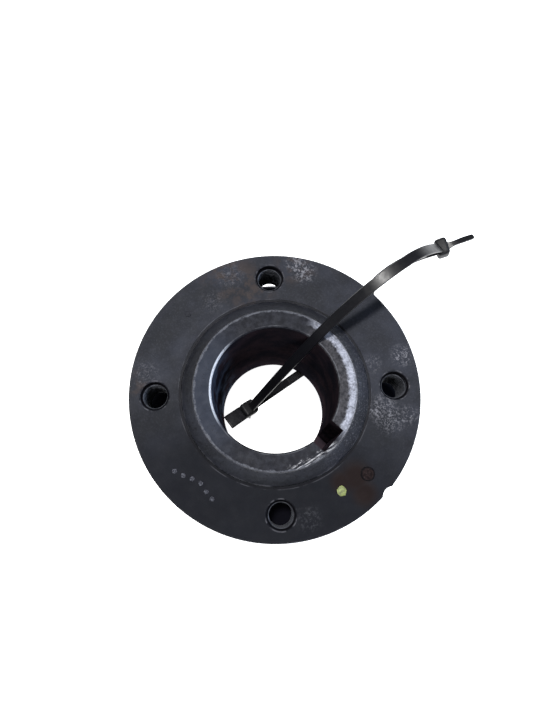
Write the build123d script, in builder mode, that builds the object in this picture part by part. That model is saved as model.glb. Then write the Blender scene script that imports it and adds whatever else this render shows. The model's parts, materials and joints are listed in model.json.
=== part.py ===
from build123d import *
import os
from math import cos, radians, sin, sqrt

os.makedirs("parts", exist_ok=True)

# Driving dimensions, in millimetres and degrees. Z is the coupling's axis: the jaw tips stand
# on z = 0 and the bolting flange faces up. +X runs through one of the four tapped holes.

# Heights along the axis
jaw_height = 22.0
jaw_head_thickness = 30.0
neck_length = 17.4
flange_thickness = 24.0
spigot_projection = 5.2

jaw_root = jaw_height
jaw_head_front = jaw_root + jaw_head_thickness
flange_rear = jaw_head_front + neck_length
flange_front = flange_rear + flange_thickness
hub_front = flange_front + spigot_projection

# Hub
bore_radius = 57.15 / 2
bore_chamfer = 0.5
key_width = 12.7
key_angle = -45.0
keyway_bottom_radius = 34.75
keyway_rear_web = 8.0
spigot_radius = 73.6 / 2
barrel_radius = 88.9 / 2
jaw_head_radius = 135.0 / 2
head_edge_chamfer = 1.5

# Jaws
jaw_count = 3
jaw_inner_radius = 38.0
jaw_arc = 38.0
jaw_first_angle = 75.0
jaw_tip_chamfer = 1.5

# Flange and its holes
flange_radius = 133.35 / 2
flange_edge_chamfer = 0.6
hole_circle_radius = 109.54 / 2
hole_count = 4
hole_radius = 12.7 / 2
hole_chamfer = 0.6
dowel_circle_radius = 55.2
dowel_radius = 6.35 / 2
dowel_depth = 16.0
dowel_proud = 0.35
notch_depth = 1.4
notch_radius = 4.4
front_recess_depth = 0.4
front_recess_radius = 43.9

# Fillet welds that hold the flange plate on the hub
front_weld_leg = 6.1
rear_weld_leg = 3.5
weld_crown = 0.35

# Set screws: one over the key, one a quarter turn from it
screw_radius = 9.525 / 2
screw_hole_clearance = 0.05
key_screw_length = 8.0
side_screw_length = 12.0
screw_socket_radius = 2.75
screw_socket_depth = 4.0
screw_height = (jaw_head_front + flange_rear) / 2
screw_set_back = 2.0
side_screw_angle = key_angle - 90.0

# Cable ties
strap_width = 4.8
strap_thickness = 1.3
tie_head_length = 8.6
tie_head_width = 8.2
tie_head_height = 5.6
tie_slot_play = 0.25
tie_plane_angle = 33.0
tie_plane_offset = 8.0
pad_width = 8.0
pad_length = 10.5
arc_steps = 5

keyway_centre = (keyway_bottom_radius + bore_radius / 2) / 2
key_direction = (cos(radians(key_angle)), sin(radians(key_angle)))


def ring_profile(inner, outer, bottom, top):
    """Draw the half section of a plain ring, in the XZ plane."""
    with Locations(((inner + outer) / 2, (bottom + top) / 2)):
        Rectangle(outer - inner, top - bottom)


def radial_plane(angle, height):
    """A plane square to the axis's radius at that angle, through the axis, facing outwards."""
    outwards = (cos(radians(angle)), sin(radians(angle)), 0)
    return Plane(origin=(0, 0, height), x_dir=(0, 0, 1), z_dir=outwards)


# One jaw's outline: a ring segment with radial flanks, centred on +X
with BuildSketch() as jaw_outline:
    jaw_outer_radius = jaw_head_radius - head_edge_chamfer
    with BuildLine():
        low_flank = PolarLine((0, 0), jaw_outer_radius, -jaw_arc / 2, mode=Mode.PRIVATE)
        high_flank = PolarLine((0, 0), jaw_outer_radius, jaw_arc / 2, mode=Mode.PRIVATE)
        inner_share = jaw_inner_radius / jaw_outer_radius
        Line(low_flank @ inner_share, low_flank @ 1)
        ThreePointArc(low_flank @ 1, (jaw_outer_radius, 0), high_flank @ 1)
        Line(high_flank @ 1, high_flank @ inner_share)
        ThreePointArc(high_flank @ inner_share, (jaw_inner_radius, 0), low_flank @ inner_share)
    make_face()

# Jaw hub: spigot, barrel and jaw head turned in one, with the jaws standing on the rear face.
with BuildPart() as jaw_hub:
    with BuildSketch(Plane.XZ):
        ring_profile(bore_radius, jaw_head_radius, jaw_root, jaw_head_front)
        ring_profile(bore_radius, barrel_radius, jaw_head_front, flange_rear)
        ring_profile(bore_radius, spigot_radius, flange_rear, hub_front)
    revolve(axis=Axis.Z)
    head_edges = jaw_hub.edges().filter_by(GeomType.CIRCLE).filter_by(
        lambda e: abs(e.radius - jaw_head_radius) < 0.01
    )
    chamfer(head_edges, head_edge_chamfer)
    bore_edges = jaw_hub.edges().filter_by(GeomType.CIRCLE).filter_by(
        lambda e: abs(e.radius - bore_radius) < 0.01
    )
    chamfer(bore_edges, bore_chamfer)

    # Jaws, chamfered round their tips
    with BuildSketch(Plane.XY.offset(jaw_root)):
        with PolarLocations(0, jaw_count, start_angle=jaw_first_angle):
            add(jaw_outline.sketch)
    extrude(amount=-jaw_height)
    tip_edges = jaw_hub.faces().filter_by(Axis.Z).group_by(Axis.Z)[0].edges()
    chamfer(tip_edges, jaw_tip_chamfer)

    # Keyway from the front, stopping short of the bore's rear end
    with BuildSketch(Plane.XY.offset(jaw_root + keyway_rear_web)):
        with Locations((key_direction[0] * keyway_centre, key_direction[1] * keyway_centre)):
            Rectangle(keyway_bottom_radius - bore_radius / 2, key_width, rotation=key_angle)
    extrude(amount=hub_front - jaw_root - keyway_rear_web, mode=Mode.SUBTRACT)

    # Tapped holes for the set screws
    for screw_angle in (key_angle, side_screw_angle):
        with BuildSketch(radial_plane(screw_angle, screw_height)):
            Circle(screw_radius + screw_hole_clearance)
        extrude(amount=barrel_radius + 1, mode=Mode.SUBTRACT)
jaw_hub.part.label = "jaw_hub"
export_step(jaw_hub.part, "parts/jaw_hub.step")


# Flange plate: a bored disc on the spigot, with four tapped holes, the dowel's hole and a notch.
with BuildPart() as flange_plate:
    with BuildSketch(Plane.XY.offset(flange_rear)):
        Circle(flange_radius)
        Circle(spigot_radius, mode=Mode.SUBTRACT)
    extrude(amount=flange_thickness)
    rim_edges = flange_plate.edges().filter_by(GeomType.CIRCLE).filter_by(
        lambda e: abs(e.radius - flange_radius) < 0.01
    )
    chamfer(rim_edges, flange_edge_chamfer)
    with BuildSketch(Plane.XY.offset(flange_rear)):
        with PolarLocations(hole_circle_radius, hole_count):
            Circle(hole_radius)
    extrude(amount=flange_thickness, mode=Mode.SUBTRACT)
    hole_edges = flange_plate.edges().filter_by(GeomType.CIRCLE).filter_by(
        lambda e: abs(e.radius - hole_radius) < 0.01
    )
    chamfer(hole_edges, hole_chamfer)
    with BuildSketch(Plane.XY.offset(flange_front)):
        with PolarLocations(dowel_circle_radius, 1, start_angle=key_angle):
            Circle(dowel_radius)
    extrude(amount=-dowel_depth, mode=Mode.SUBTRACT)
    with BuildSketch(Plane.XY.offset(flange_rear)):
        with PolarLocations(flange_radius - notch_depth + notch_radius, 1, start_angle=key_angle):
            Circle(notch_radius)
    extrude(amount=flange_thickness, mode=Mode.SUBTRACT)

    # Shallow recess that keeps the front weld's toe below the bolting face
    with BuildSketch(Plane.XY.offset(flange_front)):
        Circle(front_recess_radius)
    extrude(amount=-front_recess_depth, mode=Mode.SUBTRACT)
flange_plate.part.label = "flange_plate"
export_step(flange_plate.part, "parts/flange_plate.step")


def make_weld_bead(name, inner, leg, height, rise):
    """A fillet weld round a cylinder, with a slightly crowned face that rises from that height."""
    root = (inner, height)
    toe = (inner + leg, height)
    top = (inner, height + rise)
    slope = sqrt(leg**2 + rise**2)
    crown_out = weld_crown * abs(rise) / slope
    crown_up = weld_crown * leg / slope * (1 if rise > 0 else -1)
    middle = (inner + leg / 2 + crown_out, height + rise / 2 + crown_up)
    with BuildPart() as weld_bead:
        with BuildSketch(Plane.XZ):
            with BuildLine():
                Line(root, toe)
                ThreePointArc(toe, middle, top)
                Line(top, root)
            make_face()
        revolve(axis=Axis.Z)
    weld_bead.part.label = name
    export_step(weld_bead.part, "parts/" + name + ".step")
    return weld_bead.part


front_weld_root = flange_front - front_recess_depth
front_weld_rise = hub_front - front_weld_root
front_weld_bead = make_weld_bead(
    "front_weld_bead", spigot_radius, front_weld_leg, front_weld_root, front_weld_rise
)
rear_weld_bead = make_weld_bead(
    "rear_weld_bead", barrel_radius, rear_weld_leg, flange_rear, -rear_weld_leg
)

# Dowel pin, pressed into the flange in line with the keyway
with BuildPart() as dowel_pin:
    with BuildSketch(Plane.XY.offset(flange_front - dowel_depth)):
        with PolarLocations(dowel_circle_radius, 1, start_angle=key_angle):
            Circle(dowel_radius)
    extrude(amount=dowel_depth + dowel_proud)
    chamfer(dowel_pin.edges().group_by(Axis.Z)[-1], dowel_proud * 0.8)
dowel_pin.part.label = "dowel_pin"
export_step(dowel_pin.part, "parts/dowel_pin.step")


def make_set_screw(name, angle, seat_radius, screw_length):
    """A socket set screw in its radial hole, backed off from the radius that it clamps against."""
    tip = seat_radius + screw_set_back
    with BuildPart() as set_screw:
        with BuildSketch(radial_plane(angle, screw_height).offset(tip)):
            Circle(screw_radius)
        extrude(amount=screw_length)
        end_edges = set_screw.edges().filter_by(GeomType.CIRCLE)
        chamfer(end_edges, 0.8)
        with BuildSketch(radial_plane(angle, screw_height).offset(tip + screw_length)):
            RegularPolygon(radius=screw_socket_radius, side_count=6)
        extrude(amount=-screw_socket_depth, mode=Mode.SUBTRACT)
    set_screw.part.label = name
    export_step(set_screw.part, "parts/" + name + ".step")
    return set_screw.part


key_set_screw = make_set_screw("key_set_screw", key_angle, keyway_bottom_radius, key_screw_length)
side_set_screw = make_set_screw("side_set_screw", side_screw_angle, bore_radius, side_screw_length)


# The ties' plane is upright and passes beside the axis. Its x runs outwards and its y is up.
tie_normal = (sin(radians(tie_plane_angle)), -cos(radians(tie_plane_angle)), 0)
tie_plane = Plane(
    origin=(-tie_plane_offset * tie_normal[0], -tie_plane_offset * tie_normal[1], 0),
    x_dir=(cos(radians(tie_plane_angle)), sin(radians(tie_plane_angle)), 0),
    z_dir=tie_normal,
)

# Each tie's centre line from its head to its tip, as (outwards, up, across) from that plane
front_route = [
    (101.5, 103.8, 0),
    (86.5, 124.0, 0),
    (64.0, 128.0, 0),
    (45.0, 119.6, 0),
    (26.1, 99.2, 0),
    (-10.0, 36.5, 0),
    (-12.6, 26.0, 0),
    (-12.0, 7.0, 0),
]
front_bends = [12.0, 24.0, 20.0, 14.0, 12.0, 12.0]
rear_route = [
    (-10.9, 33.3, -0.6),
    (30.5, 19.2, -2.0),
    (70.0, 17.4, -2.0),
    (76.4, 36.0, -3.0),
    (75.6, 64.0, -5.0),
    (67.8, 86.0, -7.5),
    (78.0, 97.0, -7.2),
    (91.0, 100.2, -4.6),
    (101.5, 103.8, 0.2),
    (109.0, 106.0, 2.2),
    (117.5, 104.3, 4.2),
]
rear_bends = [40.0, 8.0, 18.0, 25.0, 6.0, 8.0, 20.0, 20.0, 12.0]


def make_centre_line(route, bends):
    """The edges of straight runs joined by tangent arcs, in order from the route's first point."""
    with BuildLine() as centre_line:
        FilletPolyline(*[tie_plane.from_local_coords(point) for point in route], radius=bends)
    return centre_line.wires()[0].order_edges()


def strap_station(centre_line_edge, share):
    """The plane square to the centre line there, with its x across the strap."""
    along = centre_line_edge % share
    across = Vector(*tie_normal) - along * along.dot(Vector(*tie_normal))
    return Plane(origin=centre_line_edge @ share, x_dir=across, z_dir=along)


def make_strap(centre_line, width, thickness):
    """A flat strap along a centre line's edges, ruled from one station to the next."""
    with BuildPart() as strap:
        stations = [strap_station(centre_line[0], 0)]
        for edge in centre_line:
            steps = 1 if edge.geom_type == GeomType.LINE else arc_steps
            for step in range(steps):
                stations.append(strap_station(edge, (step + 1) / steps))
        for station in stations:
            with BuildSketch(station):
                Rectangle(width, thickness)
        loft(ruled=True)
    return strap.part


def crossing_direction(centre_line, head):
    """Which way a centre line runs where it passes through the other tie's head."""
    nearest = min(centre_line, key=lambda edge: edge.distance_to(head))
    return nearest % 0.5


def make_tie(name, centre_line, other_centre_line, pad):
    """A cable tie moulded in one: strap, head with a slot for the other tie, and any write-on pad."""
    start = strap_station(centre_line[0], 0)
    slot_direction = crossing_direction(other_centre_line, start.origin)
    head_plane = Plane(origin=start.origin, x_dir=start.x_dir, z_dir=slot_direction)
    slot_play = 2 * tie_slot_play
    slot = make_strap(other_centre_line, strap_width + slot_play, strap_thickness + slot_play)
    with BuildPart() as tie:
        add(make_strap(centre_line, strap_width, strap_thickness))
        with BuildSketch(head_plane):
            Rectangle(tie_head_width, tie_head_length)
        extrude(amount=tie_head_height / 2, both=True)
        if pad:
            with BuildSketch(start.offset(-tie_head_length / 2)):
                Rectangle(pad_width, strap_thickness)
            extrude(amount=-pad_length)
        add(slot, mode=Mode.SUBTRACT)
    tie.part.label = name
    export_step(tie.part, "parts/" + name + ".step")
    return tie.part


front_centre_line = make_centre_line(front_route, front_bends)
rear_centre_line = make_centre_line(rear_route, rear_bends)
cable_tie_front = make_tie("cable_tie_front", front_centre_line, rear_centre_line, pad=False)
cable_tie_rear = make_tie("cable_tie_rear", rear_centre_line, front_centre_line, pad=True)
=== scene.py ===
import json
import math
import random

import bmesh
import bpy
from mathutils import Matrix, Vector, noise


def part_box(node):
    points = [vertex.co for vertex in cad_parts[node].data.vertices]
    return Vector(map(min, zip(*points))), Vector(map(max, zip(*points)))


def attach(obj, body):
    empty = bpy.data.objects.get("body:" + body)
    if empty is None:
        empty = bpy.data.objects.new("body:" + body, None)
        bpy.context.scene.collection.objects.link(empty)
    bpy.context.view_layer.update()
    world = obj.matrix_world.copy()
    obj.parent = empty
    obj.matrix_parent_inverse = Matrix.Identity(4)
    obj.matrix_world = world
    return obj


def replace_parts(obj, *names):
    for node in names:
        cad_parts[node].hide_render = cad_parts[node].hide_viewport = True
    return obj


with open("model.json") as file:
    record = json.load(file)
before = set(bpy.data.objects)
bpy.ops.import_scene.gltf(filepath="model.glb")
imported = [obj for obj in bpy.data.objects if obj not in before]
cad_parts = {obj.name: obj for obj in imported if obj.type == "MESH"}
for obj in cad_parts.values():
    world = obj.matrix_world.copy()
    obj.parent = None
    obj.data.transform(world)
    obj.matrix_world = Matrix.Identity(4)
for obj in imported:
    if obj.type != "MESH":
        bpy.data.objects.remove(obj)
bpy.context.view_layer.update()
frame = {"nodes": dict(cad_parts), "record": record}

# ---------------------------------------------------------------------------------------------
# Sizes and places, in metres, worked out from the frame. Z is the coupling's axis.
# ---------------------------------------------------------------------------------------------
MM = 0.001
mounts = {mount["name"]: mount for mount in frame["record"]["mounts"]}
bolt_circle = mounts["flange_bolt_circle"]["dims"]
HUB_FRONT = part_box("jaw_hub")[1][2]
FLANGE_FRONT = mounts["flange_face"]["pos_m"][2]
FLANGE_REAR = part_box("flange_plate")[0][2]
FRONT_WELD_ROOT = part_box("front_weld_bead")[0][2]
BOSS_RADIUS = 36.8 * MM
FRONT_WELD_LEG = 6.1 * MM
RECESS_RADIUS = 43.9 * MM
BARREL_RADIUS = 44.45 * MM
REAR_WELD_LEG = 3.5 * MM
REAR_WELD_RIPPLES = 90
DOWEL_CIRCLE_RADIUS = 55.2 * MM
HOLE_RADIUS = bolt_circle["hole_r_mm"] * MM
HOLE_CIRCLE_RADIUS = bolt_circle["pcd_mm"] / 2 * MM
HOLE_COUNT = bolt_circle["count"]


def polar(radius, degrees, height=0.0):
    """A point at that radius and angle round the coupling's axis."""
    angle = math.radians(degrees)
    return Vector((radius * math.cos(angle), radius * math.sin(angle), height))


# ---------------------------------------------------------------------------------------------
# Camera, light and floor
# ---------------------------------------------------------------------------------------------
CAMERA_PLACE = Vector((-0.00605, -0.04431, 0.33643))
CAMERA_AIM = Vector((-0.0016, 0.01444, 0.0934))
CAMERA_UP = Vector((0.0434, 0.9709, 0.2355))
CAMERA_LENS_MM = 27.05
FLOOR_SIDE = 6.0


def make_camera():
    camera_data = bpy.data.cameras.new("camera")
    camera_data.lens = CAMERA_LENS_MM
    camera_data.sensor_width = 36.0
    camera_data.clip_start = 0.01
    camera = bpy.data.objects.new("camera", camera_data)
    bpy.context.collection.objects.link(camera)
    forward = (CAMERA_AIM - CAMERA_PLACE).normalized()
    right = forward.cross(CAMERA_UP).normalized()
    up = right.cross(forward)
    turn = Matrix((right, up, -forward)).transposed().to_4x4()
    camera.matrix_world = Matrix.Translation(CAMERA_PLACE) @ turn
    bpy.context.scene.camera = camera


def make_area_light(name, place, aim, size, watts, colour):
    light_data = bpy.data.lights.new(name, "AREA")
    light_data.shape = "DISK"
    light_data.size = size
    light_data.energy = watts
    light_data.color = colour
    light = bpy.data.objects.new(name, light_data)
    bpy.context.collection.objects.link(light)
    light.location = place
    light.rotation_euler = (Vector(aim) - Vector(place)).to_track_quat("-Z", "Y").to_euler()


def make_studio():
    scene = bpy.context.scene
    scene.view_settings.view_transform = "Standard"
    world = bpy.data.worlds.new("studio")
    world.use_nodes = True
    background = world.node_tree.nodes["Background"]
    background.inputs["Color"].default_value = (0.90, 0.95, 1.0, 1)
    background.inputs["Strength"].default_value = 0.26
    scene.world = world
    middle = (0, 0, FLANGE_FRONT)
    make_area_light("key_light", (-0.075, 0.095, 1.35), middle, 0.12, 20, (1.0, 0.99, 0.97))
    make_area_light("side_light", (1.1, 0.1, 0.75), middle, 0.5, 6.5, (0.60, 0.74, 1.0))
    make_area_light("front_light", (-0.2, -1.1, 0.9), middle, 0.6, 4.0, (0.95, 0.97, 1.0))


def make_floor():
    mesh = bpy.data.meshes.new("floor")
    half = FLOOR_SIDE / 2
    corners = [(-half, -half, 0), (half, -half, 0), (half, half, 0), (-half, half, 0)]
    mesh.from_pydata(corners, [], [(0, 1, 2, 3)])
    floor = bpy.data.objects.new("floor", mesh)
    bpy.context.collection.objects.link(floor)
    material = bpy.data.materials.new("pale_floor")
    material.use_nodes = True
    shader = material.node_tree.nodes["Principled BSDF"]
    shader.inputs["Base Color"].default_value = (0.9, 0.9, 0.9, 1)
    shader.inputs["Roughness"].default_value = 0.9
    shader.inputs["Emission Color"].default_value = (1, 1, 1, 1)
    shader.inputs["Emission Strength"].default_value = 1.0
    mesh.materials.append(material)


# ---------------------------------------------------------------------------------------------
# Materials. Every pattern is laid out in millimetres of the part's own frame.
# ---------------------------------------------------------------------------------------------
class Surface:
    """A material's node tree, with short calls for the patterns that the materials share."""

    def __init__(self, name):
        self.material = bpy.data.materials.new(name)
        self.material.use_nodes = True
        self.tree = self.material.node_tree
        self.shader = self.tree.nodes["Principled BSDF"]
        coordinates = self.tree.nodes.new("ShaderNodeTexCoord").outputs["Object"]
        self.place = self.make("ShaderNodeVectorMath", coordinates, operation="SCALE", Scale=1000)
        parts = self.tree.nodes.new("ShaderNodeSeparateXYZ")
        self.tree.links.new(self.place, parts.inputs[0])
        self.x, self.y, self.height = parts.outputs
        self.flat = self.combine(self.x, self.y, 0.0)
        self.radius = self.length(self.flat)

    def set_input(self, socket, value):
        if isinstance(value, bpy.types.NodeSocket):
            self.tree.links.new(value, socket)
        elif isinstance(value, tuple) and len(value) == 3 and socket.type == "RGBA":
            socket.default_value = (*value, 1)
        else:
            socket.default_value = value

    def make(self, kind, *values, **settings):
        """Adds a node. Values go to its inputs in order, capitalised settings by their input's name."""
        node = self.tree.nodes.new(kind)
        for key, value in settings.items():
            if not key[0].isupper():
                setattr(node, key, value)
        for socket, value in zip(node.inputs, values):
            self.set_input(socket, value)
        for key, value in settings.items():
            if key[0].isupper():
                self.set_input(node.inputs[key.replace("_", " ")], value)
        return node.outputs[0]

    def maths(self, operation, *values):
        return self.make("ShaderNodeMath", *values, operation=operation)

    def product(self, share, *others):
        """Shares or numbers multiplied together."""
        for other in others:
            share = self.maths("MULTIPLY", share, other)
        return share

    def opposite(self, share):
        return self.maths("SUBTRACT", 1.0, share)

    def spread(self, value, least, most, low=0.3, high=0.7):
        """A pattern's values from low to high, turned into least to most."""
        return self.make("ShaderNodeMapRange", value, low, high, least, most)

    def combine(self, x, y, z):
        return self.make("ShaderNodeCombineXYZ", x, y, z)

    def length(self, vector):
        node = self.tree.nodes.new("ShaderNodeVectorMath")
        node.operation = "LENGTH"
        self.tree.links.new(vector, node.inputs[0])
        return node.outputs["Value"]

    def step(self, value, low, high):
        """0 below low and 1 above high, smooth between. With low above high it falls instead."""
        node = self.tree.nodes.new("ShaderNodeMapRange")
        node.interpolation_type = "SMOOTHSTEP"
        for socket, number in zip(node.inputs, (value, low, high, 0.0, 1.0)):
            self.set_input(socket, number)
        return node.outputs[0]

    def mix(self, share, below, above):
        node = self.tree.nodes.new("ShaderNodeMix")
        node.data_type = "RGBA"
        self.set_input(node.inputs[0], share)
        self.set_input(node.inputs[6], below)
        self.set_input(node.inputs[7], above)
        return node.outputs[2]

    def noise(self, scale, detail=4.0, roughness=0.55, shift=0.0):
        """Noise with features about 1 / scale millimetres across."""
        place = self.place
        if shift:
            place = self.make("ShaderNodeMapping", place, Location=(shift, shift, shift))
        return self.make("ShaderNodeTexNoise", place, Scale=scale, Detail=detail, Roughness=roughness)

    def grains(self, scale, amount):
        """Hard little flecks: 1 inside them. A larger amount gives more of them."""
        return self.step(self.noise(scale, 3.0, 0.7, shift=37.0), 0.70 - amount, 0.79 - amount)

    def near(self, point_mm, inner, outer):
        """1 inside the inner distance of a point, 0 outside the outer one."""
        offset = self.make("ShaderNodeVectorMath", self.flat, tuple(point_mm), operation="SUBTRACT")
        return self.step(self.length(offset), outer, inner)

    def ring(self, middle, half_width, blur):
        """1 on a thin ring of that radius."""
        away = self.maths("ABSOLUTE", self.maths("SUBTRACT", self.radius, middle))
        return self.step(away, half_width + blur, half_width)

    def facing(self, degrees, low, high):
        """1 on the side of the axis that lies at that angle."""
        outwards = self.make("ShaderNodeVectorMath", self.flat, operation="NORMALIZE")
        node = self.tree.nodes.new("ShaderNodeVectorMath")
        node.operation = "DOT_PRODUCT"
        self.tree.links.new(outwards, node.inputs[0])
        node.inputs[1].default_value = polar(1.0, degrees)
        return self.step(node.outputs["Value"], low, high)

    def bump(self, height, distance_mm, strength=1.0, under=None):
        values = {"Height": height, "Distance": distance_mm * MM, "Strength": strength}
        if under is not None:
            values["Normal"] = under
        return self.make("ShaderNodeBump", **values)

    def finish(self, colour, roughness, normal=None, metallic=0.0, **more):
        self.set_input(self.shader.inputs["Base Color"], colour)
        self.set_input(self.shader.inputs["Roughness"], roughness)
        self.set_input(self.shader.inputs["Metallic"], metallic)
        if normal is not None:
            self.set_input(self.shader.inputs["Normal"], normal)
        for key, value in more.items():
            self.set_input(self.shader.inputs[key.replace("_", " ")], value)
        return self.material


DARK_STEEL = (0.022, 0.024, 0.033)
DARKER_STEEL = (0.013, 0.014, 0.018)
STEEL_GRAIN = (0.045, 0.047, 0.060)
# The next colour darkens the flange on the side below the keyway
DARKER_SIDE_STEEL = (0.006, 0.0065, 0.009)
PALE_WEAR = (0.20, 0.20, 0.225)
BRIGHT_METAL = (0.40, 0.40, 0.42)
BROWN_STAIN = (0.034, 0.027, 0.027)
RED_RUST = (0.011, 0.007, 0.007)
HOLE_BLACK = (0.007, 0.007, 0.009)

# Where the flange is marked: radius, angle and reach, in millimetres and degrees. The speckle's
# fourth value is how much of it is worn.
BROWN_STAINS = ((60, 109, 18), (50, 101, 16), (62, 78, 14), (62, 175, 9))
WORN_SPECKLE = (
    (54, -16, 10, 0.55), (46.5, -14, 6, 0.5), (62, -13, 6, 0.4), (61.5, 13, 7, 0.75),
    (60, 74, 8, 0.75), (63, 79, 6, 0.6), (47, 13, 6, 0.30), (60, 170, 9, 0.25),
    (52, 122, 8, 0.2), (58, -78, 8, 0.10), (60, 108, 9, 0.25), (50, -8, 7, 0.35),
)


def dark_steel_colour(surface):
    """Blackened steel: cloudy dark blue-grey with a fine grain, shared by all the large parts."""
    clouds = surface.step(surface.noise(0.055, 5.0, 0.6), 0.35, 0.68)
    colour = surface.mix(clouds, DARKER_STEEL, DARK_STEEL)
    grain = surface.step(surface.noise(1.3, 3.0, 0.6), 0.45, 0.75)
    return surface.mix(surface.product(grain, 0.30), colour, STEEL_GRAIN)


def dark_steel_normal(surface, pits=0.05):
    """Fine grain over shallow unevenness."""
    uneven = surface.bump(surface.noise(0.12, 3.0, 0.5), 0.5, 0.5)
    return surface.bump(surface.noise(2.2, 4.0, 0.65), pits, 0.9, under=uneven)


def hole_distance(surface):
    """The distance from the nearest tapped hole's axis, in millimetres."""
    size_x, size_y = surface.maths("ABSOLUTE", surface.x), surface.maths("ABSOLUTE", surface.y)
    along = surface.maths("SUBTRACT", surface.maths("MAXIMUM", size_x, size_y), HOLE_CIRCLE_RADIUS / MM)
    return surface.length(surface.combine(along, surface.maths("MINIMUM", size_x, size_y), 0.0))


def make_flange_steel():
    surface = Surface("flange_steel")
    colour = dark_steel_colour(surface)
    front = FLANGE_FRONT / MM

    # The side below the keyway is made darker
    darker_side = surface.product(surface.facing(-98.0, -0.05, 0.80), 0.88)
    colour = surface.mix(darker_side, colour, DARKER_SIDE_STEEL)

    # Brown stains, and rust round the dowel
    patchy = surface.step(surface.noise(0.16, 5.0, 0.65, shift=11.0), 0.42, 0.62)
    for radius, degrees, reach in BROWN_STAINS:
        stain = surface.near(polar(radius, degrees), reach * 0.2, reach)
        colour = surface.mix(surface.product(stain, patchy), colour, BROWN_STAIN)
    rusty = surface.near(polar(52.5, -50), 3.0, 10.0)
    rusty = surface.maths("MAXIMUM", rusty, surface.near(polar(50, -57), 2.0, 7.0))
    rusty = surface.maths("MAXIMUM", rusty, surface.near(polar(60, -52), 2.5, 8.0))
    colour = surface.mix(rusty, colour, RED_RUST)

    # Worn pale speckle
    fine_flecks = surface.product(surface.grains(1.4, 0.17), 0.8)
    flecks = surface.maths("MAXIMUM", surface.grains(0.55, 0.16), fine_flecks)
    for radius, degrees, reach, amount in WORN_SPECKLE:
        worn = surface.near(polar(radius, degrees), reach * 0.15, reach)
        colour = surface.mix(surface.product(worn, flecks, amount), colour, PALE_WEAR)

    # The recess round the weld: painted shade in its corner, with a thin, broken worn edge outside it
    broken = surface.step(surface.noise(0.09, 4.0, 0.6, shift=21.0), 0.45, 0.62)
    base_line = surface.ring(RECESS_RADIUS / MM + 0.15, 0.10, 0.22)
    colour = surface.mix(surface.product(base_line, broken, 0.15), colour, PALE_WEAR)
    corner_shade = surface.ring(RECESS_RADIUS / MM - 0.6, 0.35, 0.3)
    colour = surface.mix(surface.product(corner_shade, 0.6), colour, (0.005, 0.005, 0.007))

    # Worn lips of the holes, near-black walls, and the rim's worn edge
    top = surface.step(surface.height, front - 0.9, front - 0.3)
    distance = hole_distance(surface)
    lip = surface.product(surface.step(distance, 7.3, 7.0), surface.step(distance, 6.45, 6.75), top)
    rubbed = surface.step(surface.noise(0.35, 3.0), 0.45, 0.65)
    colour = surface.mix(surface.product(lip, rubbed, 0.40), colour, PALE_WEAR)
    dark_lip = surface.product(surface.step(distance, 8.0, 7.2), 0.25)
    colour = surface.mix(dark_lip, colour, (0.010, 0.011, 0.014))
    inside = surface.step(distance, HOLE_RADIUS / MM + 0.3, HOLE_RADIUS / MM + 0.1)
    colour = surface.mix(inside, colour, HOLE_BLACK)
    chips = surface.step(surface.noise(0.3, 4.0), 0.5, 0.65)
    rim = surface.product(surface.step(surface.radius, 65.9, 66.3), chips, top, 0.2)
    colour = surface.mix(rim, colour, PALE_WEAR)

    # The darker side and the rust dull the shine, and the holes' walls have none
    rings = surface.maths("SINE", surface.product(surface.radius, 7.0))
    turned = surface.bump(rings, 0.02, 0.25, under=dark_steel_normal(surface))
    roughness = surface.spread(surface.noise(0.2, 4.0), 0.60, 0.70)
    roughness = surface.maths("MAXIMUM", roughness, surface.product(inside, 0.9))
    outside = surface.opposite(inside)
    shine_share = surface.opposite(surface.product(surface.maths("MAXIMUM", darker_side, rusty), 0.65))
    return surface.finish(colour, roughness, turned, surface.product(outside, 0.1),
                          Specular_IOR_Level=surface.product(outside, shine_share, 0.16))


def boss_face_colour(surface, patchy, worn, scratches):
    """The boss's face: dull grey all round, bright where it's worn on the keyway's side."""
    dull = surface.mix(surface.step(patchy, 0.35, 0.7), (0.007, 0.0075, 0.011), (0.021, 0.022, 0.029))
    # A painted bluish sheen lightens the face's left side
    left_sheen = surface.product(surface.facing(178.0, 0.45, 0.95), 0.55)
    dull = surface.mix(left_sheen, dull, (0.030, 0.037, 0.056))
    mottle = surface.step(surface.noise(0.9, 4.0, 0.7), 0.35, 0.65)
    wavy_radius = surface.maths("ADD", surface.radius, surface.product(patchy, 4.0))
    dim = surface.mix(mottle, (0.022, 0.022, 0.025), (0.052, 0.051, 0.058))
    bright = surface.mix(mottle, (0.19, 0.20, 0.24), (0.34, 0.355, 0.42))
    face = surface.mix(worn, dull, surface.mix(surface.step(wavy_radius, 34.6, 36.2), dim, bright))
    face = surface.mix(scratches, face, BRIGHT_METAL)

    # The outer edge: chips and a painted highlight line; the bore's edge: painted glints, with a brighter
    # painted highlight on the left
    chips = surface.step(surface.noise(0.25, 5.0, 0.8, shift=3.0), 0.32, 0.56)
    wobble = surface.product(surface.maths("SUBTRACT", surface.noise(0.4, 3.0), 0.5), 2.2)
    outer_edge_highlight = surface.step(surface.maths("ADD", surface.radius, wobble), 35.8, 36.3)
    face = surface.mix(surface.product(outer_edge_highlight, chips, 0.75), face, (0.105, 0.11, 0.13))
    broken = surface.step(surface.noise(0.12, 3.0, shift=9.0), 0.40, 0.62)
    bore_edge_glints = surface.product(surface.ring(29.25, 0.12, 0.25), broken, 0.5)
    face = surface.mix(bore_edge_glints, face, (0.12, 0.125, 0.14))
    bore_edge_highlight = surface.product(surface.ring(29.15, 0.30, 0.35), surface.facing(172.0, 0.72, 0.97))
    face = surface.mix(bore_edge_highlight, face, (0.42, 0.46, 0.54))
    return surface.mix(surface.product(surface.grains(0.8, 0.10), 0.7), face, DARKER_STEEL)


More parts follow.
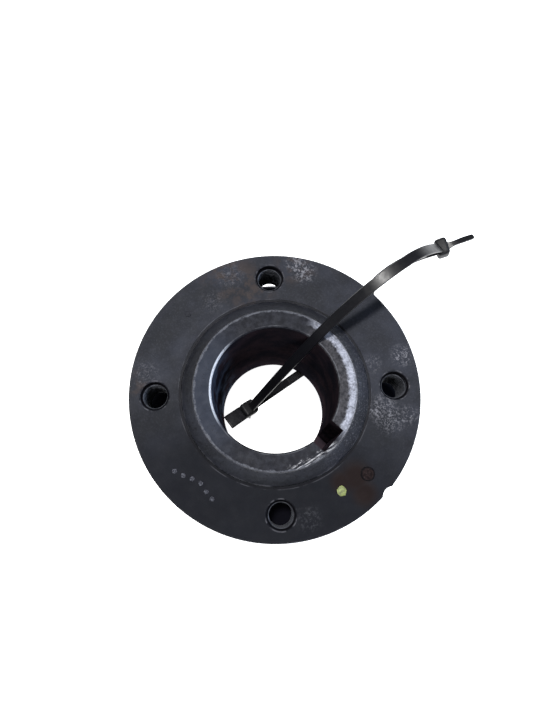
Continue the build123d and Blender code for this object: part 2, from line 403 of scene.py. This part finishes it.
def edge_scratches(surface, patchy):
    """Scratches below the keyway that cross the boss's outer edge, in patches."""
    streaks = surface.make("ShaderNodeMapping", surface.place, Rotation=(0, 0, math.radians(30)),
                           Scale=(8.0, 1.0, 8.0), vector_type="TEXTURE")
    streak_noise = surface.make("ShaderNodeTexNoise", streaks, Scale=1.3, Detail=3.0, Roughness=0.6)
    outwards = surface.maths("ADD", surface.product(surface.radius, 0.09), patchy)
    return surface.product(surface.step(streak_noise, 0.50, 0.58), surface.facing(-64.0, 0.93, 0.985),
                           surface.step(outwards, 3.50, 3.72))


def bore_colour(surface):
    """Nearly black, a little brown, with a painted blue highlight on the left wall."""
    tint = surface.step(surface.noise(0.07, 4.0), 0.35, 0.65)
    colour = surface.mix(tint, (0.016, 0.015, 0.021), (0.036, 0.025, 0.031))
    left_wall_highlight = surface.product(surface.facing(172.0, 0.75, 1.0),
                            surface.step(surface.noise(0.10, 4.0, 0.6, shift=13.0), 0.40, 0.62))
    return surface.mix(left_wall_highlight, colour, (0.070, 0.092, 0.135))


def make_hub_steel():
    surface = Surface("hub_steel")
    face_height, plate_rear = HUB_FRONT / MM, FLANGE_REAR / MM
    front = surface.step(surface.height, face_height - 0.75, face_height - 0.45)
    patchy = surface.noise(0.35, 5.0, 0.7, shift=5.0)
    worn = surface.product(surface.facing(10.0, 0.60, 0.78), surface.step(patchy, 0.26, 0.55))
    scratches = edge_scratches(surface, patchy)
    face = boss_face_colour(surface, patchy, worn, scratches)
    colour = surface.mix(front, dark_steel_colour(surface), face)
    bore = surface.product(surface.step(surface.radius, 36.0, 35.2),
                           surface.step(surface.height, face_height - 0.42, face_height - 0.60))
    colour = surface.mix(bore, colour, bore_colour(surface))

    # Painted shade: the jaw head's front under the tapped holes is painted black
    hole_shade = surface.product(surface.step(hole_distance(surface), 14.0, 9.0),
                                  surface.step(surface.height, plate_rear - 3, plate_rear - 12))
    colour = surface.mix(hole_shade, colour, (0.004, 0.004, 0.006))

    roughness = surface.spread(surface.noise(0.25, 4.0), 0.54, 0.68)
    roughness = surface.maths("MAXIMUM", roughness, surface.product(bore, 0.85))
    outside = surface.opposite(surface.maths("MAXIMUM", bore, hole_shade))
    metal = surface.product(surface.maths("ADD", surface.product(front, worn, 0.3), 0.1), outside)
    normal = surface.bump(scratches, 0.05, 0.6, under=dark_steel_normal(surface, 0.06))
    return surface.finish(colour, roughness, normal, metal,
                          Specular_IOR_Level=surface.product(outside, 0.12))


def make_weld_steel():
    surface = Surface("weld_steel")
    colour = dark_steel_colour(surface)
    colour = surface.mix(surface.product(surface.grains(0.7, 0.13), 0.8), colour, (0.006, 0.006, 0.008))
    pale = surface.product(surface.facing(-5.0, 0.35, 0.85), surface.grains(1.3, 0.16), 0.28)
    colour = surface.mix(pale, colour, PALE_WEAR)
    toe = surface.product(surface.step(surface.radius, 42.0, 42.6),
                          surface.step(surface.noise(0.15, 3.0), 0.45, 0.6), 0.25)
    colour = surface.mix(toe, colour, PALE_WEAR)
    roughness = surface.spread(surface.noise(0.3, 4.0), 0.42, 0.60)
    return surface.finish(colour, roughness, dark_steel_normal(surface, 0.07), 0.2,
                          Specular_IOR_Level=0.35)


def make_rusty_steel():
    """The dowel: dark brown, with a black outline where it meets its hole."""
    surface = Surface("rusty_steel")
    blotches = surface.step(surface.noise(0.8, 5.0, 0.7), 0.35, 0.65)
    colour = surface.mix(blotches, (0.006, 0.004, 0.0045), (0.020, 0.013, 0.013))
    colour = surface.mix(surface.product(surface.grains(2.0, 0.08), 0.2), colour, (0.16, 0.15, 0.16))
    middle = surface.near(polar(DOWEL_CIRCLE_RADIUS / MM, -45), 2.2, 3.0)
    colour = surface.mix(middle, (0.004, 0.004, 0.005), colour)
    normal = surface.bump(surface.noise(3.0, 4.0, 0.7), 0.12, 1.0)
    return surface.finish(colour, 0.9, normal, 0.0, Specular_IOR_Level=0.08)


def make_screw_steel():
    """Black oxide, rubbed off in places."""
    surface = Surface("screw_steel")
    worn = surface.step(surface.noise(0.9, 4.0, 0.7), 0.55, 0.7)
    colour = surface.mix(worn, (0.012, 0.012, 0.014), (0.09, 0.085, 0.085))
    normal = surface.bump(surface.noise(2.5, 3.0, 0.6), 0.04, 0.8)
    roughness = surface.spread(worn, 0.38, 0.55, low=0.0, high=1.0)
    return surface.finish(colour, roughness, normal, 0.75)


def make_thread_steel():
    """Thread flanks: black in the root, rubbed paler on the crests."""
    surface = Surface("thread_steel")
    rubbed = surface.step(surface.noise(0.5, 3.0, 0.6), 0.35, 0.65)
    crest = surface.step(hole_distance(surface), HOLE_RADIUS / MM - 0.45, HOLE_RADIUS / MM - 0.85)
    share = surface.product(crest, surface.maths("ADD", surface.product(rubbed, 0.6), 0.4))
    colour = surface.mix(share, (0.003, 0.003, 0.004), (0.085, 0.09, 0.105))
    normal = surface.bump(surface.noise(3.0, 3.0, 0.6), 0.03, 0.7)
    return surface.finish(colour, 0.5, normal, surface.product(share, 0.5),
                          Specular_IOR_Level=surface.product(share, 0.5))


def make_black_nylon(name, least_roughness, most_roughness):
    """Moulded black nylon with a few paler scuffs."""
    surface = Surface(name)
    scuffs = surface.product(surface.step(surface.noise(1.2, 5.0, 0.7), 0.56, 0.72), 0.3)
    colour = surface.mix(scuffs, (0.0045, 0.0045, 0.006), (0.020, 0.021, 0.027))
    normal = surface.bump(surface.noise(3.5, 3.0, 0.6), 0.015, 0.6)
    roughness = surface.spread(surface.noise(0.5, 3.0), least_roughness, most_roughness)
    return surface.finish(colour, roughness, normal, 0.0, Specular_IOR_Level=0.26)


def make_pad_nylon():
    """The write-on pad's top: the same nylon, with a matt moulded face."""
    surface = Surface("pad_nylon")
    rubbed = surface.step(surface.noise(0.7, 4.0, 0.6), 0.35, 0.7)
    colour = surface.mix(rubbed, (0.007, 0.007, 0.009), (0.017, 0.017, 0.020))
    normal = surface.bump(surface.noise(2.0, 3.0, 0.6), 0.03, 0.7)
    return surface.finish(colour, 0.55, normal, 0.0, Specular_IOR_Level=0.14)


def make_yellow_paint():
    """Paint that thins out in places, with specks of dirt."""
    surface = Surface("yellow_paint")
    thick = surface.step(surface.noise(0.9, 4.0, 0.7), 0.38, 0.66)
    colour = surface.mix(thick, (0.085, 0.10, 0.028), (0.215, 0.255, 0.068))
    colour = surface.mix(surface.product(surface.grains(1.6, 0.08), 0.6), colour, (0.08, 0.08, 0.03))
    normal = surface.bump(surface.noise(1.5, 3.0, 0.6), 0.08, 0.9)
    return surface.finish(colour, 0.55, normal, 0.0)


def make_struck_steel():
    """The raised lips of punch marks, where the dark skin has come off."""
    surface = Surface("struck_steel")
    worn = surface.step(surface.noise(1.4, 4.0, 0.7), 0.4, 0.65)
    colour = surface.mix(worn, (0.016, 0.017, 0.023), (0.085, 0.087, 0.105))
    normal = surface.bump(surface.noise(3.0, 3.0, 0.6), 0.03, 0.8)
    return surface.finish(colour, 0.7, normal, 0.1, Specular_IOR_Level=0.15)


# ---------------------------------------------------------------------------------------------
# Mesh helpers
# ---------------------------------------------------------------------------------------------
def add_piece(name, mesh, material, body, smooth=True):
    """Puts a mesh in the scene as one piece that rides on a body."""
    piece = bpy.data.objects.new(name, mesh)
    bpy.context.collection.objects.link(piece)
    mesh.materials.append(material)
    if smooth:
        mesh.shade_smooth()
    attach(piece, body)
    return piece


def apply_modifiers(piece):
    """Replaces a piece's mesh with what its modifiers make of it."""
    depsgraph = bpy.context.evaluated_depsgraph_get()
    mesh = bpy.data.meshes.new_from_object(piece.evaluated_get(depsgraph))
    piece.modifiers.clear()
    piece.data = mesh


def sweep_rings(rings, closed_ends=True):
    """A mesh through rings of equally many points, joined one to the next."""
    count = len(rings[0])
    vertices = [point for ring in rings for point in ring]
    faces = []
    for step in range(len(rings) - 1):
        start = step * count
        for index in range(count):
            after = (index + 1) % count
            faces.append((start + index, start + after, start + count + after, start + count + index))
    if closed_ends:
        last = (len(rings) - 1) * count
        faces.append(tuple(reversed(range(count))))
        faces.append(tuple(last + index for index in range(count)))
    mesh = bpy.data.meshes.new("sweep")
    mesh.from_pydata(vertices, [], faces)
    return mesh


# ---------------------------------------------------------------------------------------------
# Threads, as helical ridges on the plain walls of the tapped holes
# ---------------------------------------------------------------------------------------------
THREAD_PITCH = 25.4 / 13 * MM
THREAD_DEPTH = 0.95 * MM
STEPS_PER_TURN = 40


def make_thread(name, origin, axis, length, wall_radius, body, material):
    """A helical ridge that stands inwards from a hole's wall. Its ends run out over half a turn."""
    axis = Vector(axis).normalized()
    side = axis.orthogonal().normalized()
    other = axis.cross(side)
    turns = (length - THREAD_PITCH) / THREAD_PITCH
    steps = int(turns * STEPS_PER_TURN)
    sunk = 0.04 * MM
    half_root, half_crest = THREAD_PITCH * 0.44, THREAD_PITCH * 0.08
    rings = []
    for step in range(steps + 1):
        angle = 2 * math.pi * step / STEPS_PER_TURN
        height = THREAD_PITCH / 2 + THREAD_PITCH * step / STEPS_PER_TURN
        runout = min(1.0, min(step, steps - step) / (STEPS_PER_TURN / 2))
        crest = wall_radius - THREAD_DEPTH * max(runout, 0.05)
        root = wall_radius + sunk
        outwards = side * math.cos(angle) + other * math.sin(angle)
        profile = ((root, -half_root), (crest, -half_crest), (crest, half_crest), (root, half_root))
        rings.append([origin + outwards * r + axis * (height + rise) for r, rise in reversed(profile)])
    return add_piece(name, sweep_rings(rings), material, body, smooth=False)


# ---------------------------------------------------------------------------------------------
# Welds: turned beads with an uneven face and ripples
# ---------------------------------------------------------------------------------------------
def make_weld(name, node, inner, leg, height, rise, ripple, material):
    """A fillet weld's bead. Its toe wanders a little and its face is crowned and rippled."""
    around, across = 260, 12
    rings = []
    for step in range(around):
        angle = 2 * math.pi * step / around
        direction = Vector((math.cos(angle), math.sin(angle), 0))
        sample = direction * 3.0
        wander = noise.noise(sample * 1.3 + Vector((0, 0, 5))) * 0.35 * MM
        profile = [direction * (inner - 0.3 * MM) + Vector((0, 0, height - math.copysign(0.25 * MM, rise)))]
        for index in range(across + 1):
            share = index / across
            crown = math.sin(share * math.pi)
            out = inner + (leg + wander * share) * share
            up = rise * (1 - share)
            wave = noise.noise(sample * 4 + Vector((share * 3, 0, 0))) * 0.22 * MM
            wave += math.sin(angle * ripple + 2.2 * crown) * 0.10 * MM if ripple else 0
            slope = Vector((abs(rise), 0, math.copysign(leg, rise))).normalized()
            lift = crown * (0.28 * MM + wave)
            profile.append(direction * (out + slope.x * lift)
                           + Vector((0, 0, height + up + slope.z * lift)))
        profile.append(direction * (inner + leg * 0.9)
                       + Vector((0, 0, height - math.copysign(0.25 * MM, rise))))
        rings.append(profile if rise < 0 else list(reversed(profile)))
    rings.append(rings[0])
    mesh = sweep_rings(rings, closed_ends=False)
    bead = add_piece(name, mesh, material, "coupling_half")
    work = bmesh.new()
    work.from_mesh(mesh)
    bmesh.ops.remove_doubles(work, verts=work.verts, dist=1e-7)
    bmesh.ops.recalc_face_normals(work, faces=work.faces)
    work.to_mesh(mesh)
    work.free()
    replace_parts(bead, node)
    return bead


# ---------------------------------------------------------------------------------------------
# Small marks on the flange's face
# ---------------------------------------------------------------------------------------------
# Radius and angle of each dot, in millimetres and degrees
PUNCH_MARKS = (
    (57.1, -143.5), (55.4, -139.5), (53.6, -135.5), (52.6, -131.0), (54.0, -126.5), (55.2, -122.5),
)
PUNCH_RADIUS = 0.85 * MM
RING_MARK_RADIUS = 1.15 * MM
PAINT_DOT_PLACE = polar(53.2 * MM, -59.4, FLANGE_FRONT)


def make_punch_mark(name, place, radius, material):
    """A dot punch's raised lip, with a shallow dished middle, seated in the flange's face."""
    random.seed(name)
    profile = ((0.45, 0.03), (0.75, 0.08), (0.95, 0.13), (1.15, 0.10), (1.35, -0.04))
    around = 28
    rings = []
    for share, rise in profile:
        ring = []
        for step in range(around):
            angle = 2 * math.pi * step / around
            jitter = 1 + random.uniform(-0.05, 0.05)
            out = radius * share * jitter
            ring.append(place + Vector((out * math.cos(angle), out * math.sin(angle), rise * MM)))
        rings.append(ring)
    return add_piece(name, sweep_rings(rings), material, "coupling_half")


def make_paint_dot(place, material):
    """A thick dab of paint with a ragged outline."""
    around, levels = 72, 8
    rings = []
    for level in range(levels):
        share = 1 - level / levels
        ring = []
        for step in range(around):
            angle = 2 * math.pi * step / around
            direction = Vector((math.cos(angle), math.sin(angle), 0))
            ragged = 1 + 0.16 * noise.noise(direction * 1.7) + 0.08 * noise.noise(direction * 5)
            out = 2.3 * MM * share * ragged
            dome = 0.26 * MM * (1 - share**3) - 0.05 * MM
            lump = 0.05 * MM * noise.noise(direction * share * 3 + Vector((4, 0, 0)))
            ring.append(place + direction * out + Vector((0, 0, dome + lump * (1 - share**4))))
        rings.append(ring)
    return add_piece("paint_dot", sweep_rings(rings), material, "coupling_half")


# ---------------------------------------------------------------------------------------------
# Cable ties
# ---------------------------------------------------------------------------------------------
STRAP_WIDTH = 4.8 * MM
STRAP_THICKNESS = 1.3 * MM
TIE_PLANE_ANGLE = 33.0
TIE_PLANE_OFFSET = 8.0 * MM
HEAD_LENGTH = 8.6 * MM
HEAD_WIDTH = 8.2 * MM
HEAD_HEIGHT = 5.6 * MM
PAD_LENGTH = 10.5 * MM
PAD_WIDTH = 8.0 * MM
TOOTH_PITCH = 1.1 * MM

# Along each strap from its head: where the teeth start and end. Its tip is narrow over a length.
FRONT_TEETH = (70 * MM, 185 * MM)
FRONT_TIP_LENGTH = 14 * MM
REAR_TEETH = (30 * MM, 183 * MM)
REAR_TIP_LENGTH = 17 * MM

# Each tie's centre line from head to tip: (outwards, up, across) in millimetres from an upright
# plane that passes beside the axis
FRONT_ROUTE = [
    (101.5, 103.8, 0),
    (86.5, 124.0, 0),
    (64.0, 128.0, 0),
    (45.0, 119.6, 0),
    (26.1, 99.2, 0),
    (-10.0, 36.5, 0),
    (-12.6, 26.0, 0),
    (-12.0, 7.0, 0),
]
REAR_ROUTE = [
    (-10.9, 33.3, -0.6),
    (30.5, 19.2, -2.0),
    (70.0, 17.4, -2.0),
    (76.4, 36.0, -3.0),
    (75.6, 64.0, -5.0),
    (67.8, 86.0, -7.5),
    (78.0, 97.0, -7.2),
    (91.0, 100.2, -4.6),
    (101.5, 103.8, 0.2),
    (109.0, 106.0, 2.2),
    (117.5, 104.3, 4.2),
]
tie_outwards = polar(1.0, TIE_PLANE_ANGLE)
tie_across = Vector((tie_outwards.y, -tie_outwards.x, 0))


def tie_point(point):
    """A route's point in the part's own frame."""
    outwards, up, across = (value * MM for value in point)
    return tie_outwards * outwards + tie_across * (across - TIE_PLANE_OFFSET) + Vector((0, 0, up))


def smooth_line(route, step_length):
    """Points along a NURBS spline with the route's points as its control points."""
    curve = bpy.data.curves.new("route", "CURVE")
    curve.dimensions = "3D"
    curve.resolution_u = 40
    spline = curve.splines.new("NURBS")
    spline.points.add(len(route) - 1)
    for target, point in zip(spline.points, route):
        target.co = (*tie_point(point), 1)
    spline.use_endpoint_u = True
    spline.order_u = 3
    holder = bpy.data.objects.new("route", curve)
    bpy.context.collection.objects.link(holder)
    mesh = bpy.data.meshes.new_from_object(holder)
    dense = [vertex.co.copy() for vertex in mesh.vertices]
    bpy.data.objects.remove(holder)
    bpy.data.meshes.remove(mesh)
    even = [dense[0]]
    left = step_length
    for before, after in zip(dense, dense[1:]):
        span = (after - before).length
        walked = 0.0
        while span - walked >= left:
            walked += left
            even.append(before.lerp(after, walked / span))
            left = step_length
        left -= span - walked
    return even


def strap_frame(points, index):
    """The strap's direction, its width direction and its outer face's normal at a point."""
    before = points[max(index - 1, 0)]
    after = points[min(index + 1, len(points) - 1)]
    along = (after - before).normalized()
    across = (tie_across - along * along.dot(tie_across)).normalized()
    return along, across, across.cross(along)


def make_strap(name, route, teeth_from, teeth_to, tip_length, material):
    """A tie's strap: rounded edges, a toothed track down its outer face, and a narrow tip."""
    step_length = TOOTH_PITCH / 4
    points = smooth_line(route, step_length)
    total = step_length * (len(points) - 1)
    half, thin = STRAP_WIDTH / 2, STRAP_THICKNESS / 2
    track = half * 0.62
    rings = []
    for index, point in enumerate(points):
        _, across, outer = strap_frame(points, index)
        walked = step_length * index
        to_tip = total - walked
        narrow = 1.0
        if to_tip < tip_length:
            neck = min(1.0, max(0.0, to_tip - tip_length * 0.62) / (tip_length * 0.38))
            narrow = 0.50 + 0.50 * neck * neck * (3 - 2 * neck)
            narrow += 0.06 * math.sin(math.pi * min(1.0, to_tip / (tip_length * 0.6)))
        round_end = math.sqrt(max(0.0, 1 - max(0.0, 1 - to_tip / (1.3 * MM)) ** 2))
        width = max(half * narrow * round_end, 0.05 * MM)
        thickness = thin * (0.85 + 0.15 * narrow) * max(round_end, 0.12)
        tooth = 0.0
        if teeth_from < walked < teeth_to:
            tooth = (0.10, 0.30, 0.34, 0.14)[index % 4] * MM
        low = thickness * 0.45
        inset = min(track * narrow, width * 0.8)
        profile = [
            (-width, -low), (-width * 0.88, -thickness), (-inset, -thickness), (-inset * 0.97, -thickness),
            (inset * 0.97, -thickness), (inset, -thickness), (width * 0.88, -thickness), (width, -low),
            (width, low), (width * 0.88, thickness), (inset, thickness), (inset * 0.97, thickness - tooth),
            (-inset * 0.97, thickness - tooth), (-inset, thickness), (-width * 0.88, thickness),
            (-width, low),
        ]
        rings.append([point + across * x + outer * z for x, z in profile])
    return add_piece(name, sweep_rings(rings), material, "tie_loop", smooth=False)


def box_mesh(name, centre, axes, sizes):
    """A box about a centre, along three given directions."""
    work = bmesh.new()
    bmesh.ops.create_cube(work, size=1.0)
    for vertex in work.verts:
        x, y, z = vertex.co
        vertex.co = centre + axes[0] * (x * sizes[0]) + axes[1] * (y * sizes[1]) + axes[2] * (z * sizes[2])
    bmesh.ops.recalc_face_normals(work, faces=work.faces)
    mesh = bpy.data.meshes.new(name)
    work.to_mesh(mesh)
    work.free()
    return mesh


def make_tie_head(name, route, other_route, material):
    """A tie's head: a rounded block with a slot through it, and a pawl in the slot."""
    centre = smooth_line(route, 1.0 * MM)[0]
    other_points = smooth_line(other_route, 0.5 * MM)
    nearest = min(range(len(other_points)), key=lambda index: (other_points[index] - centre).length)
    slot_along, slot_across, _ = strap_frame(other_points, nearest)
    own = slot_across.cross(slot_along).normalized()
    axes = (own, slot_across, slot_along)
    block = box_mesh(name, centre, axes, (HEAD_LENGTH, HEAD_WIDTH, HEAD_HEIGHT))
    head = add_piece(name, block, material, "tie_loop")
    slot_size = (STRAP_THICKNESS + 1.1 * MM, STRAP_WIDTH + 0.5 * MM, HEAD_HEIGHT * 2)
    slot_mesh = box_mesh("slot_cutter", other_points[nearest], axes, slot_size)
    slot = bpy.data.objects.new("slot_cutter", slot_mesh)
    bpy.context.collection.objects.link(slot)
    bevel = head.modifiers.new("round", "BEVEL")
    bevel.width = 1.5 * MM
    bevel.segments = 5
    cut = head.modifiers.new("slot", "BOOLEAN")
    cut.operation = "DIFFERENCE"
    cut.object = slot
    cut.solver = "EXACT"
    edge = head.modifiers.new("edge", "BEVEL")
    edge.width = 0.15 * MM
    edge.segments = 2
    edge.limit_method = "ANGLE"
    edge.angle_limit = math.radians(40)
    apply_modifiers(head)
    bpy.data.objects.remove(slot)
    for polygon in head.data.polygons:
        polygon.use_smooth = True
    head.data.set_sharp_from_angle(angle=math.radians(40))

    # The pawl leans across the slot against the other strap's teeth
    pawl_centre = other_points[nearest] + own * (STRAP_THICKNESS * 0.5 + 0.28 * MM)
    pawl_mesh = box_mesh(name + "_pawl", pawl_centre, axes, (0.5 * MM, STRAP_WIDTH * 0.6, HEAD_HEIGHT * 0.6))
    pawl = add_piece(name + "_pawl", pawl_mesh, material, "tie_loop")
    soften = pawl.modifiers.new("round", "BEVEL")
    soften.width = 0.18 * MM
    soften.segments = 3
    apply_modifiers(pawl)
    return head


def make_write_on_pad(route, nylon, pad_nylon):
    """The marker tie's flat pad beyond its head, with a raised panel on top."""
    points = smooth_line(route, 1.0 * MM)
    along, across, outer = strap_frame(points, 0)
    centre = points[0] - along * (HEAD_LENGTH + PAD_LENGTH) / 2
    base_size = (PAD_LENGTH, PAD_WIDTH, STRAP_THICKNESS)
    top_size = (PAD_LENGTH - 1.2 * MM, PAD_WIDTH - 1.4 * MM, 0.3 * MM)
    for name, size, lift, width, material in (("write_on_pad", base_size, 0, 0.45, nylon),
                                              ("write_on_pad_top", top_size, 0.62, 0.1, pad_nylon)):
        mesh = box_mesh(name, centre + outer * lift * MM, (along, across, outer), size)
        pad = add_piece(name, mesh, material, "tie_loop")
        bevel = pad.modifiers.new("round", "BEVEL")
        bevel.width = width * MM
        bevel.segments = 3
        apply_modifiers(pad)
        pad.data.shade_smooth()
        pad.data.set_sharp_from_angle(angle=math.radians(50))


# ---------------------------------------------------------------------------------------------
# Making
# ---------------------------------------------------------------------------------------------
make_camera()
make_studio()
make_floor()

flange_steel = make_flange_steel()
hub_steel = make_hub_steel()
weld_steel = make_weld_steel()
rusty_steel = make_rusty_steel()
screw_steel = make_screw_steel()
thread_steel = make_thread_steel()
struck_steel = make_struck_steel()
black_nylon = make_black_nylon("black_nylon", 0.30, 0.42)
dull_nylon = make_black_nylon("dull_nylon", 0.52, 0.62)
pad_nylon = make_pad_nylon()
yellow_paint = make_yellow_paint()

for node_name, node_material in (("flange_plate", flange_steel), ("jaw_hub", hub_steel),
                                 ("dowel_pin", rusty_steel), ("key_set_screw", screw_steel),
                                 ("side_set_screw", screw_steel)):
    for material_slot in frame["nodes"][node_name].material_slots:
        material_slot.material = node_material

make_weld("front_weld", "front_weld_bead", BOSS_RADIUS, FRONT_WELD_LEG, FRONT_WELD_ROOT,
          HUB_FRONT - FRONT_WELD_ROOT, 0, weld_steel)
make_weld("rear_weld", "rear_weld_bead", BARREL_RADIUS, REAR_WELD_LEG, FLANGE_REAR,
          -REAR_WELD_LEG, REAR_WELD_RIPPLES, weld_steel)

for number in range(HOLE_COUNT):
    hole_centre = polar(HOLE_CIRCLE_RADIUS, 360 / HOLE_COUNT * number, FLANGE_REAR)
    make_thread("tapped_thread_" + str(number + 1), hole_centre, (0, 0, 1), FLANGE_FRONT - FLANGE_REAR,
                HOLE_RADIUS, "coupling_half", thread_steel)

for number, (mark_radius, mark_degrees) in enumerate(PUNCH_MARKS):
    make_punch_mark("punch_mark_" + str(number + 1), polar(mark_radius * MM, mark_degrees, FLANGE_FRONT),
                    PUNCH_RADIUS, struck_steel)
make_punch_mark("ring_mark", polar(54.9 * MM, 135.5, FLANGE_FRONT), RING_MARK_RADIUS, flange_steel)
make_paint_dot(PAINT_DOT_PLACE, yellow_paint)

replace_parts(make_strap("front_strap", FRONT_ROUTE, *FRONT_TEETH, FRONT_TIP_LENGTH, black_nylon),
            "cable_tie_front")
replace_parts(make_strap("rear_strap", REAR_ROUTE, *REAR_TEETH, REAR_TIP_LENGTH, black_nylon),
            "cable_tie_rear")
make_tie_head("front_head", FRONT_ROUTE, REAR_ROUTE, dull_nylon)
make_tie_head("rear_head", REAR_ROUTE, FRONT_ROUTE, dull_nylon)
make_write_on_pad(REAR_ROUTE, black_nylon, pad_nylon)
